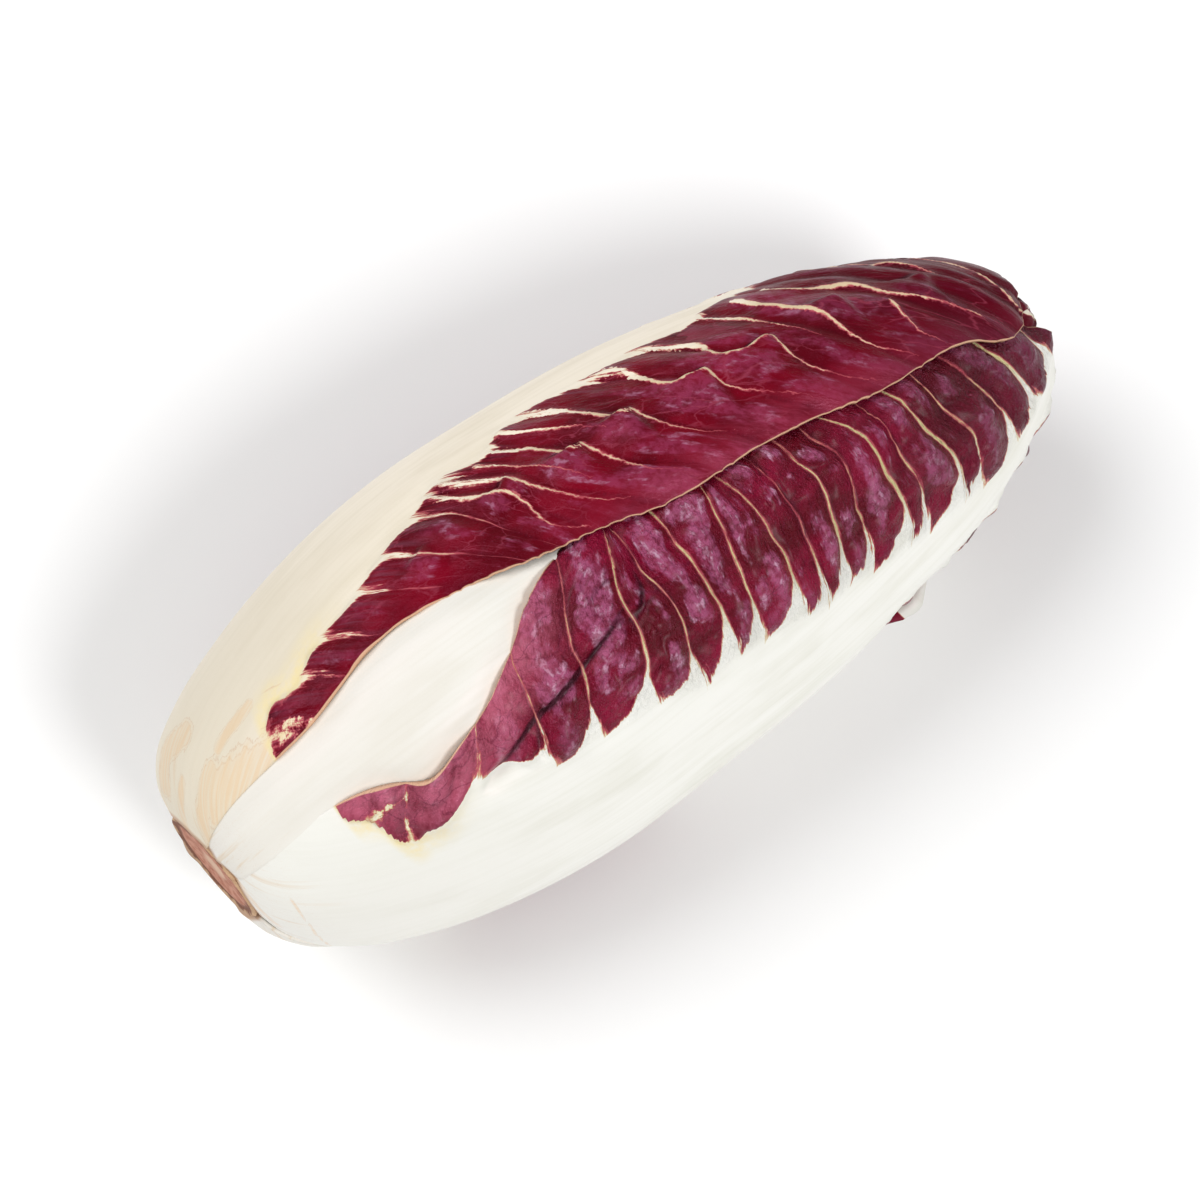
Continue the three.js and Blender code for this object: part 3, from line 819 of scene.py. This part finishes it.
# %% Distance into the red
def inside_red(tree, f, tone):
    # mm from the nearer vein, each one widened by its white funnel, most on the side toward the cut
    share = add(tree, "Math", [f["phase"]], operation="FRACT")
    past = add(tree, "Math", [share, f["spacing"]], operation="MULTIPLY")
    left = add(tree, "Math", [f["spacing"], past], operation="SUBTRACT")
    white = add(tree, "Math", [f["funnel"], f["spacing"]], operation="MULTIPLY")
    near_width = add(tree, "Math", [white, 0.15, f["vein"]], operation="MULTIPLY_ADD")
    far_width = add(tree, "Math", [white, 1.15, f["vein"]], operation="MULTIPLY_ADD")
    lead = add(tree, "Math", [past, near_width], operation="SUBTRACT")
    trail = add(tree, "Math", [left, far_width], operation="SUBTRACT")
    inside = add(tree, "Math", [lead, trail], operation="MINIMUM")

    # the drawn veins, whose edges waver by a third of a millimetre
    waver = add(tree, "MapRange", [f["waver"], 0.25, 0.75, -0.35, 0.35])
    line = add(tree, "Math", [f["line"], waver], operation="ADD")
    line = add(tree, "Math", [line], operation="ABSOLUTE")
    line = add(tree, "Math", [line, f["line_width"]], operation="SUBTRACT")
    inside = add(tree, "Math", [inside, line], operation="MINIMUM")

    # fine streaks and a few long white fingers that reach out from the rib
    feather = add(tree, "Math", [f["feather"], 0.5], operation="SUBTRACT")
    near_rib = add(tree, "MapRange", [f["red"], 12.0, 0.0, 1.1, tone["feather"]], **SMOOTH)
    inside = add(tree, "Math", [feather, near_rib, inside], operation="MULTIPLY_ADD")
    finger = add(tree, "MapRange", [f["finger"], 0.5, 0.64, 0.0, tone["finger"]], **SMOOTH)
    reach = add(tree, "Math", [f["reach"], 16.0, f["red"]], operation="MULTIPLY_ADD")
    reach = add(tree, "MapRange", [reach, 19.0, 10.0, 0.0, 1.0], **SMOOTH)
    finger = add(tree, "Math", [finger, reach], operation="MULTIPLY")
    upper = add(tree, "MapRange", [f["station"], 78.0, 98.0, 0.2, 1.0], **SMOOTH)
    finger = add(tree, "Math", [finger, upper], operation="MULTIPLY")
    inside = add(tree, "Math", [inside, finger], operation="SUBTRACT")

    # blots where the red ends near the cut, and none on the rib itself
    patch = add(tree, "Math", [f["patch"], 0.5], operation="SUBTRACT")
    worn = add(tree, "MapRange", [f["station"], 46.0, 27.0, 0.0, 15.0], **SMOOTH)
    on_red = add(tree, "MapRange", [f["red"], -4.0, 0.0], **SMOOTH)
    worn = add(tree, "Math", [worn, on_red], operation="MULTIPLY")
    inside = add(tree, "Math", [patch, worn, inside], operation="MULTIPLY_ADD")
    on_rib = add(tree, "Math", [f["red"], 2.0], operation="ADD")
    on_rib = add(tree, "Math", [on_rib, 0.0], operation="MINIMUM")
    inside = add(tree, "Math", [inside, on_rib], operation="ADD")

    # a softer edge close to the rib and close to the cut
    by_rib = add(tree, "MapRange", [f["red"], 8.0, 0.0, 1.0, 0.3], **SMOOTH)
    by_cut = add(tree, "MapRange", [f["station"], 34.0, 42.0, 0.3, 1.0], **SMOOTH)
    soft = add(tree, "Math", [by_rib, by_cut], operation="MULTIPLY")
    return add(tree, "Math", [inside, soft], operation="MULTIPLY")


print("the red breaks up within 46 mm of the cut")

# %% [markdown]
# ## The leaf finish, 3: the white rib
# The rib is satin white with long faint fibres. Toward the cut it has dried: tan stains, scars with a
# brown rim, thin cracks, and a warm yellow halo where it meets the red. Each is one layer of paint.

# %% Colour of the rib
RIB_RANGES = {"fibre": ("fibre", 0.4, 0.7, 0.0, 0.3), "shade": ("cloud", 0.42, 0.68, 0.0, 0.6),
              "old": ("station", 26.0, 0.0, 0.0, 0.6), "stain": ("stain", 0.54, 0.68),
              "thread": ("thread", 0.38, 0.6, 0.15, 0.5), "darker_to_cut": ("station", 100.0, 10.0, 0.0, 0.75),
              "cut_rim": ("station", 1.6, 0.2, 0.0, 0.8), "by_red": ("red", -6.0, 0.0),
              "low": ("station", 56.0, 38.0), "blot": ("patch", 0.3, 0.65, 0.25, 0.9)}
SCAR_RIMS = (0.42, 0.56)


def rib_colour(tree, f, tone):
    r = {name: add(tree, "MapRange", [f[field], *limits], **SMOOTH)
         for name, (field, *limits) in RIB_RANGES.items()}
    shade = add(tree, "Math", [r["fibre"], r["shade"]], operation="ADD")
    stain = add(tree, "Math", [r["old"], r["stain"]], operation="MULTIPLY")
    # a scar has a tan middle with threads across it, and two thin brown rims
    ragged = add(tree, "MapRange", [f["ragged"], 0.2, 0.8, -0.2, 0.2])
    scar = add(tree, "Math", [f["scar"], ragged], operation="ADD")
    patch = add(tree, "MapRange", [scar, 0.34, 0.7], **SMOOTH)
    patch = add(tree, "Math", [patch, r["thread"]], operation="MULTIPLY")
    rims = []
    for level in SCAR_RIMS:
        rim = add(tree, "Math", [scar, level], operation="SUBTRACT")
        rim = add(tree, "Math", [rim], operation="ABSOLUTE")
        rims.append(add(tree, "MapRange", [rim, 0.03, 0.0, 0.0, 0.3], **SMOOTH))
    # thin cracks follow the middle value of a noise
    crack = add(tree, "Math", [f["ragged"], 0.5], operation="SUBTRACT")
    crack = add(tree, "Math", [crack], operation="ABSOLUTE")
    crack = add(tree, "MapRange", [crack, 0.006, 0.0, 0.0, 0.5], **SMOOTH)
    crack = add(tree, "Math", [crack, r["old"]], operation="MULTIPLY")
    halo = add(tree, "Math", [r["by_red"], r["low"]], operation="MULTIPLY")
    halo = add(tree, "Math", [halo, r["blot"]], operation="MULTIPLY")
    colour = hex_colour(tone["rib"])
    # toward the cut the rib's white grows darker
    for amount, code in ((shade, tone["rib_shade"]), (r["darker_to_cut"], tone["rib_low"]), (stain, "#d8c09c"),
                         (patch, "#e2bf90"), (rims[0], "#c08f5e"), (rims[1], "#cfa473"), (crack, "#c79a68"),
                         (r["cut_rim"], "#b98d66"), (halo, "#ecdca4")):
        colour = add(tree, "Mix", {0: amount, 6: colour, 7: hex_colour(code)}, **TINT)
    return colour


print("nine layers on the rib")

# %% [markdown]
# ## The leaf finish, 4: the burgundy blade
# The blade is deep crimson, with painted shade in the valleys between its crests. Wax gives its crests a
# mauve bloom with painted highlights and glints on it, and its free margin a band of bloom and painted
# sheen. Painted sheen gives grey streaks near the rib, with darker streaks between them, and painted
# shade darkens the tip and makes the foot of a fold nearly black. A net of the finest veins runs
# between the side veins.

# %% Colour of the blade
# Ranges for the blade: its own uneven red, painted highlight glints, speckle, painted sheen streaks near the
# rib and the darker streaks beside them, painted shade at the feet of folds and toward the tip.
BLADE_RANGES = {"tint": ("tone", 0.35, 0.68), "clear": ("red", 3.0, 14.0, 0.35, 1.0),
                "broken": ("fine", 0.36, 0.6, 0.3, 1.0), "glint": ("wrinkle", 0.52, 0.66),
                "speckle": ("speckle", 0.55, 0.72, 0.0, 0.16), "uneven": ("mottle", 0.3, 0.6, 0.25, 1.0),
                "sheen_streak": ("sheen_streak", 0.48, 0.66), "dark_streak": ("sheen_streak", 0.46, 0.34),
                "foot": ("fold_shade", 0.4, 1.7, 0.0, 0.95), "tip": ("station", 135.0, 190.0, 0.0, 0.65)}
NET_WARP = (9.0, 6.5, 0.0)
NET_PER_MM = (0.15, 0.21, 1.0)


def blade_colour(tree, f, tone):
    # painted shade where the crest is low, how near the rib the painted sheen streaks lie, and the band of
    # bloom and painted sheen along the free margin
    own = {"hollow": ("crest", 0.3, 0.02, 0.0, tone["hollow"]),
           "near": ("red", 12.0, 1.0, 0.0, tone["sheen_streak"]),
           "rim": ("edge", tone["rim_reach"], 0.4, 0.0, tone["rim"]),
           "stretch": ("station", *tone["rim_from_to"]),
           "shown": ("cloud", 0.4, 0.6, 0.1, tone["net"])}
    r = {name: add(tree, "MapRange", [f[field], *limits], **SMOOTH)
         for name, (field, *limits) in (BLADE_RANGES | own).items()}
    # wax bloom with painted highlight lies on the crests, broken up, and its brightest painted highlights
    # are the glints
    wax_and_highlight = add(tree, "Math", [f["mottle"], 1.6, f["crest"]], operation="MULTIPLY_ADD")
    wax_and_highlight = add(tree, "MapRange", [wax_and_highlight, 1.3, 1.62, 0.0, tone["bloom_and_highlight"]], **SMOOTH)

    # the net of the finest veins: cells about 7 mm along a side vein by 5 mm, pushed about by noise
    turn = add(tree, "TexNoise", {"Vector": f["vein_map"], "Scale": 0.2, "Detail": 4.0}, out="Color")
    turn = add(tree, "VectorMath", [turn, NET_WARP, f["vein_map"]], operation="MULTIPLY_ADD")
    turn = add(tree, "VectorMath", [turn, NET_PER_MM], operation="MULTIPLY")
    net = add(tree, "TexVoronoi", {"Vector": turn, "Scale": 1.0}, feature="DISTANCE_TO_EDGE")
    net = add(tree, "MapRange", [net, 0.03, 0.0], **SMOOTH)

    wax_and_highlight = add(tree, "Math", [wax_and_highlight, r["clear"]], operation="MULTIPLY")
    wax_and_highlight = add(tree, "Math", [wax_and_highlight, r["broken"]], operation="MULTIPLY")
    glint = add(tree, "Math", [r["glint"], wax_and_highlight], operation="MULTIPLY")
    # a band of mauve bloom and painted sheen along the free margin, uneven along its length
    rim = add(tree, "Math", [r["rim"], r["stretch"]], operation="MULTIPLY")
    rim = add(tree, "Math", [rim, r["uneven"]], operation="MULTIPLY")
    # painted sheen streaks near the rib, with darker streaks where the sheen is missing
    sheen_streak = add(tree, "Math", [r["sheen_streak"], r["near"]], operation="MULTIPLY")
    dark_streak = add(tree, "Math", [r["dark_streak"], r["near"]], operation="MULTIPLY")
    net = add(tree, "Math", [net, r["shown"]], operation="MULTIPLY")
    # layers: the red's own tone, painted shade in the valleys, wax bloom with painted highlight, painted
    # glints, speckle, margin bloom and painted sheen, painted sheen streaks, darker streaks, painted shade
    # toward the tip and at the feet of folds, and the net of fine veins
    colour = hex_colour(tone["dark"])
    for amount, code in ((r["tint"], tone["red"]), (r["hollow"], tone["depth"]), (wax_and_highlight, tone["mauve"]),
                         (glint, tone["glint"]), (r["speckle"], tone["mauve"]), (rim, tone["margin_bloom_and_sheen"]),
                         (sheen_streak, "#6a3242"), (dark_streak, "#3c000c"), (r["tip"], "#3c000e"), (r["foot"], "#2c000c"),
                         (net, tone["net_tone"])):
        colour = add(tree, "Mix", {0: amount, 6: colour, 7: hex_colour(code)}, **TINT)
    return colour


print("eleven layers on the blade")

# %% [markdown]
# ## The leaf finish, 5: joined in one shader
# The two colours meet in a thin pink blush, and a fine cream line follows the free margin. The blade's
# wax is smoother than the rib, so its roughness is lower where the light should gather. A tinted, weak
# gloss keeps the dark red deep. The bump reads only a few grains, because a render works it out three
# times over at each point.

# %% One finish from a set of tones
WET_TISSUE_IOR = 1.4


def leaf_finish(name, tone):
    material, tree = new_finish(name)
    f = leaf_fields(tree)
    inside = inside_red(tree, f, tone)
    rib = rib_colour(tree, f, tone)
    blade = blade_colour(tree, f, tone)

    fringe = add(tree, "MapRange", [inside, -0.2, 0.12], **SMOOTH)
    blush = add(tree, "Mix", {0: fringe, 6: hex_colour(tone["vein"]), 7: hex_colour("#b8505c")}, **TINT)
    meet = add(tree, "MapRange", [inside, 0.0, 0.35], **SMOOTH)
    body = add(tree, "Mix", {0: meet, 6: blush, 7: blade}, **TINT)
    root = add(tree, "MapRange", [f["red"], 15.0, 6.0], **SMOOTH)
    pale = add(tree, "Mix", {0: root, 6: hex_colour(tone["vein"]), 7: rib}, **TINT)
    past = add(tree, "MapRange", [inside, -0.25, -0.05], **SMOOTH)
    colour = add(tree, "Mix", {0: past, 6: pale, 7: body}, **TINT)
    outline = add(tree, "MapRange", [f["edge"], 0.26, 0.04, 0.0, 0.85], **SMOOTH)
    beside_red = add(tree, "MapRange", [f["red"], -3.0, 0.5], **SMOOTH)
    outline = add(tree, "Math", [outline, beside_red], operation="MULTIPLY")
    colour = add(tree, "Mix", {0: outline, 6: colour, 7: hex_colour("#ecc09c")}, **TINT)

    is_red = add(tree, "MapRange", [inside, -0.1, 0.3], **SMOOTH)
    rough_red = add(tree, "MapRange", [f["sheen"], 0.3, 0.7, *tone["rough"]], **SMOOTH)
    rough = add(tree, "Mix", {0: is_red, 2: 0.45, 3: rough_red})
    wrinkle = add(tree, "Math", [f["wrinkle"], 0.5], operation="SUBTRACT")
    wrinkle = add(tree, "Math", [wrinkle], operation="ABSOLUTE")
    fine = add(tree, "Math", [f["fine"], 0.5], operation="SUBTRACT")
    fine = add(tree, "Math", [fine], operation="ABSOLUTE")
    height = add(tree, "Math", [wrinkle, tone["wrinkle"]], operation="MULTIPLY")
    height = add(tree, "Math", [fine, 0.12, height], operation="MULTIPLY_ADD")
    on_blade = add(tree, "MapRange", [f["red"], 0.0, 5.0], **SMOOTH)
    height = add(tree, "Math", [height, on_blade], operation="MULTIPLY")
    height = add(tree, "Math", [f["fibre"], 0.07, height], operation="MULTIPLY_ADD")
    height = add(tree, "Math", [f["skin"], 0.04, height], operation="MULTIPLY_ADD")
    bump = add(tree, "Bump", {"Height": height, "Strength": 0.8, "Distance": MM})
    shader = add(tree, "BsdfPrincipled", {
        "Base Color": colour, "Roughness": rough, "Normal": bump, "IOR": WET_TISSUE_IOR,
        "Specular IOR Level": tone["gloss"], "Specular Tint": hex_colour("#ff9cc0"),
        "Coat Weight": tone["coat"], "Coat Roughness": 0.3})
    add(tree, "OutputMaterial", [shader])
    return material


print("one shader for rib and blade")

# %% [markdown]
# ## Three sorts of leaf
# The top leaf is dull and even, with painted grey sheen streaks by its rib. The front leaf is glossy,
# crumpled and full of mauve bloom and painted mauve highlights, which is what makes it look fresh and
# wet. The wrapped leaves lie between the two.

# %% Make the leaf finishes and give them out
# In each tone, depth is the colour and hollow the strength of painted shade in the blade's valleys, glint is
# the colour of painted highlights, and mauve colours the wax bloom, its painted highlights and the speckle.
OTHER_TONE = dict(
    dark="#54000c", red="#7c001c", depth="#3c000a", mauve="#8e3450", glint="#a8607a", margin_bloom_and_sheen="#8e3450",
    vein="#d8c69a", rib="#ecebe4", rib_shade="#dedbce", rib_low="#e4e1d8", net_tone="#983c50", feather=5.0,
    finger=2.0, hollow=0.4, bloom_and_highlight=0.3, rim_reach=7.0, rim=0.4, rim_from_to=(60, 90), sheen_streak=0.4, net=0.4,
    wrinkle=0.6, rough=(0.28, 0.46), gloss=0.35, coat=0.1)
TOP_TONE = OTHER_TONE | dict(
    dark="#58000c", red="#780018", mauve="#96385a", glint="#b884a0", margin_bloom_and_sheen="#a23c56", vein="#dcc6a2",
    rib="#f7eedc", rib_shade="#e8dec8", rib_low="#d8d0bc", feather=6.0, finger=1.6, bloom_and_highlight=0.55,
    rim_reach=9.0, rim=0.5, rim_from_to=(84, 120), sheen_streak=0.8, net=0.5, wrinkle=0.5, gloss=0.3, coat=0.0)
FRONT_TONE = OTHER_TONE | dict(
    dark="#58000e", red="#84062e", depth="#40000a", mauve="#a8547a", glint="#cfa4bc", margin_bloom_and_sheen="#c2647c",
    vein="#d2c690", rib="#f2f3ec", rib_shade="#e3e4d8", rib_low="#e6e6de", net_tone="#5c0c2a", feather=4.5,
    finger=1.0, hollow=0.9, bloom_and_highlight=0.85, rim_reach=15.0, rim=0.8, rim_from_to=(92, 70), sheen_streak=0.15, net=0.5,
    wrinkle=3.0, rough=(0.18, 0.34), gloss=0.5, coat=0.15)
other_finish = leaf_finish("wrapped leaf, satin burgundy", OTHER_TONE)
finishes = {"leaf_2": leaf_finish("top leaf, dull burgundy with grey streaks", TOP_TONE),
            "leaf_3": leaf_finish("front leaf, glossy crumpled burgundy with mauve bloom", FRONT_TONE)}
for name, blade in blades.items():
    blade.data.materials.clear()
    blade.data.materials.append(finishes.get(name, other_finish))
print("finishes:", sorted(m.name for m in bpy.data.materials if m.users))

# %% [markdown]
# ## The heart
# Between the leaf tips the youngest leaves show as a closed bud with cream ribs. The solid already has
# the bud's form, so it stays, and gets a finish of its own: soft cream, clouded with burgundy.

# %% The heart's finish
def heart_finish():
    material, tree = new_finish("young heart leaf, cream to burgundy")
    place = add(tree, "TexCoord", out="Object")
    cloud = add(tree, "TexNoise", {"Vector": place, "Scale": 1 / (9 * MM), "Detail": 4.0})
    pucker = add(tree, "TexNoise", {"Vector": place, "Scale": 1 / (1.5 * MM), "Detail": 4.0})
    red = add(tree, "MapRange", [cloud, 0.4, 0.6], **SMOOTH)
    colour = add(tree, "Mix", {0: red, 6: hex_colour("#e9dcc6"), 7: hex_colour("#8c1838")}, **TINT)
    bump = add(tree, "Bump", {"Height": pucker, "Strength": 0.4, "Distance": MM})
    shader = add(tree, "BsdfPrincipled", {"Base Color": colour, "Roughness": 0.42, "Normal": bump})
    add(tree, "OutputMaterial", [shader])
    return material


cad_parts["heart"].data.materials.clear()
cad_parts["heart"].data.materials.append(heart_finish())
print("heart finish on", len(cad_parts["heart"].data.polygons), "faces")

# %% [markdown]
# ## The cut stem
# The cut has dried to a matt brown-pink. Round its middle lies the paler pith, then a dark ring where the
# sap has browned, and a light rind. The rings wander a little, because a stem is never quite round.

# %% The stem's finish
STEM_RINGS = ((4.5, 2.0, "#d9b49a"), (8.6, 10.2, "#7c4a34"), (10.8, 11.6, "#c6a27e"))
RING_WANDER = 4.0


def stem_finish():
    material, tree = new_finish("cut chicory stem, dried brown-pink")
    place = add(tree, "TexCoord", out="Object")
    middle = tuple(bend(np.float64(0), 0.0, AXIS_HEIGHT) * MM + SHIFT)
    from_middle = add(tree, "VectorMath", [place, middle], operation="SUBTRACT")
    across = add(tree, "VectorMath", [from_middle, (0, 1, 1)], operation="MULTIPLY")
    radius = add(tree, "VectorMath", [across], out="Value", operation="LENGTH")
    grain = {size: add(tree, "TexNoise", {"Vector": place, "Scale": 1 / (size * MM), "Detail": 4.0})
             for size in (3.0, 1.6, 0.8)}
    wander = add(tree, "Math", [grain[3.0], 0.5], operation="SUBTRACT")
    radius = add(tree, "Math", [wander, RING_WANDER * MM, radius], operation="MULTIPLY_ADD")
    fleck = add(tree, "MapRange", [grain[1.6], 0.35, 0.65], **SMOOTH)
    colour = add(tree, "Mix", {0: fleck, 6: hex_colour("#b06c52"), 7: hex_colour("#c98f78")}, **TINT)
    for start, end, code in STEM_RINGS:
        ring = add(tree, "MapRange", [radius, start * MM, end * MM], **SMOOTH)
        colour = add(tree, "Mix", {0: ring, 6: colour, 7: hex_colour(code)}, **TINT)
    bump = add(tree, "Bump", {"Height": grain[0.8], "Strength": 0.6, "Distance": 0.8 * MM})
    shader = add(tree, "BsdfPrincipled", {"Base Color": colour, "Roughness": 0.8, "Normal": bump})
    add(tree, "OutputMaterial", [shader])
    return material


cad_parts["stem"].data.materials.clear()
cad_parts["stem"].data.materials.append(stem_finish())
print("stem finish with", len(STEM_RINGS), "rings")

# %% [markdown]
# ## Camera
# The camera stands above the butt's side, 0.9 m off, for the calm look of a long lens. Its lens is worked
# out from how many pixels of the picture a millimetre of the head takes up.

# %% Camera
CAMERA_AZIMUTH = math.radians(-35.5)
CAMERA_HEIGHT = math.radians(71.5)
CAMERA_DISTANCE = 0.9
PIXELS_PER_MM = 5.316
PICTURE_WIDTH = 1200
SENSOR = 36.0
AIM = Vector((-0.0043, -0.0009, 0.0373))
level = math.cos(CAMERA_HEIGHT)
back = Vector((level * math.sin(CAMERA_AZIMUTH), -level * math.cos(CAMERA_AZIMUTH), math.sin(CAMERA_HEIGHT)))
camera_data = bpy.data.cameras.new("camera")
camera_data.sensor_width = SENSOR
camera_data.lens = PIXELS_PER_MM / MM * CAMERA_DISTANCE / PICTURE_WIDTH * SENSOR
camera_data.clip_end = 10
camera = bpy.data.objects.new("camera", camera_data)
bpy.context.scene.collection.objects.link(camera)
camera.location = AIM + back * CAMERA_DISTANCE
camera.rotation_euler = (-back).to_track_quat("-Z", "Y").to_euler()
bpy.context.scene.camera = camera
print("lens", round(camera_data.lens, 1), "mm")

# %% [markdown]
# ## Floor
# The floor is matt and nearly white, and far wider than the picture. It lies a hair below the head, so
# that the two surfaces don't flicker where the head rests.

# %% A pale studio floor
FLOOR_SIZE = 6
FLOOR_BELOW = 0.2 * MM
bpy.ops.mesh.primitive_plane_add(size=FLOOR_SIZE, location=(0, 0, -FLOOR_BELOW))
floor = bpy.context.object
floor.name = "floor"
floor.select_set(False)
floor_finish, floor_tree = new_finish("pale studio floor")
floor_shader = add(floor_tree, "BsdfPrincipled", {"Base Color": hex_colour("#fafafa"), "Roughness": 0.9})
add(floor_tree, "OutputMaterial", [floor_shader])
floor.data.materials.append(floor_finish)
print("floor", FLOOR_SIZE, "m wide")

# %% [markdown]
# ## Light
# A broad key from the camera's lower right brings out the glossy front leaf, and an even broader fill from
# the other side keeps the top leaf open. A white sky fills the rest, so the shadow on the floor is soft.

# %% Two broad lights and a white sky
SKY = 0.42


def soft_light(name, direction, strength, spread):
    """A broad far light. direction points from the head to the light, spread is its width in degrees."""
    data = bpy.data.lights.new(name, "SUN")
    data.energy = strength
    data.angle = math.radians(spread)
    lamp = bpy.data.objects.new(name, data)
    bpy.context.scene.collection.objects.link(lamp)
    lamp.location = Vector(direction).normalized()
    lamp.rotation_euler = Vector(direction).to_track_quat("Z", "Y").to_euler()


soft_light("key", (0.1, -0.66, 0.74), 1.45, 18)
soft_light("fill", (-0.34, 0.45, 0.82), 1.5, 40)
world = bpy.data.worlds.new("studio")
bpy.context.scene.world = world
world.use_nodes = True
background = world.node_tree.nodes["Background"]
background.inputs["Color"].default_value = (1, 1, 1, 1)
background.inputs["Strength"].default_value = SKY
bpy.context.scene.view_settings.view_transform = "Standard"
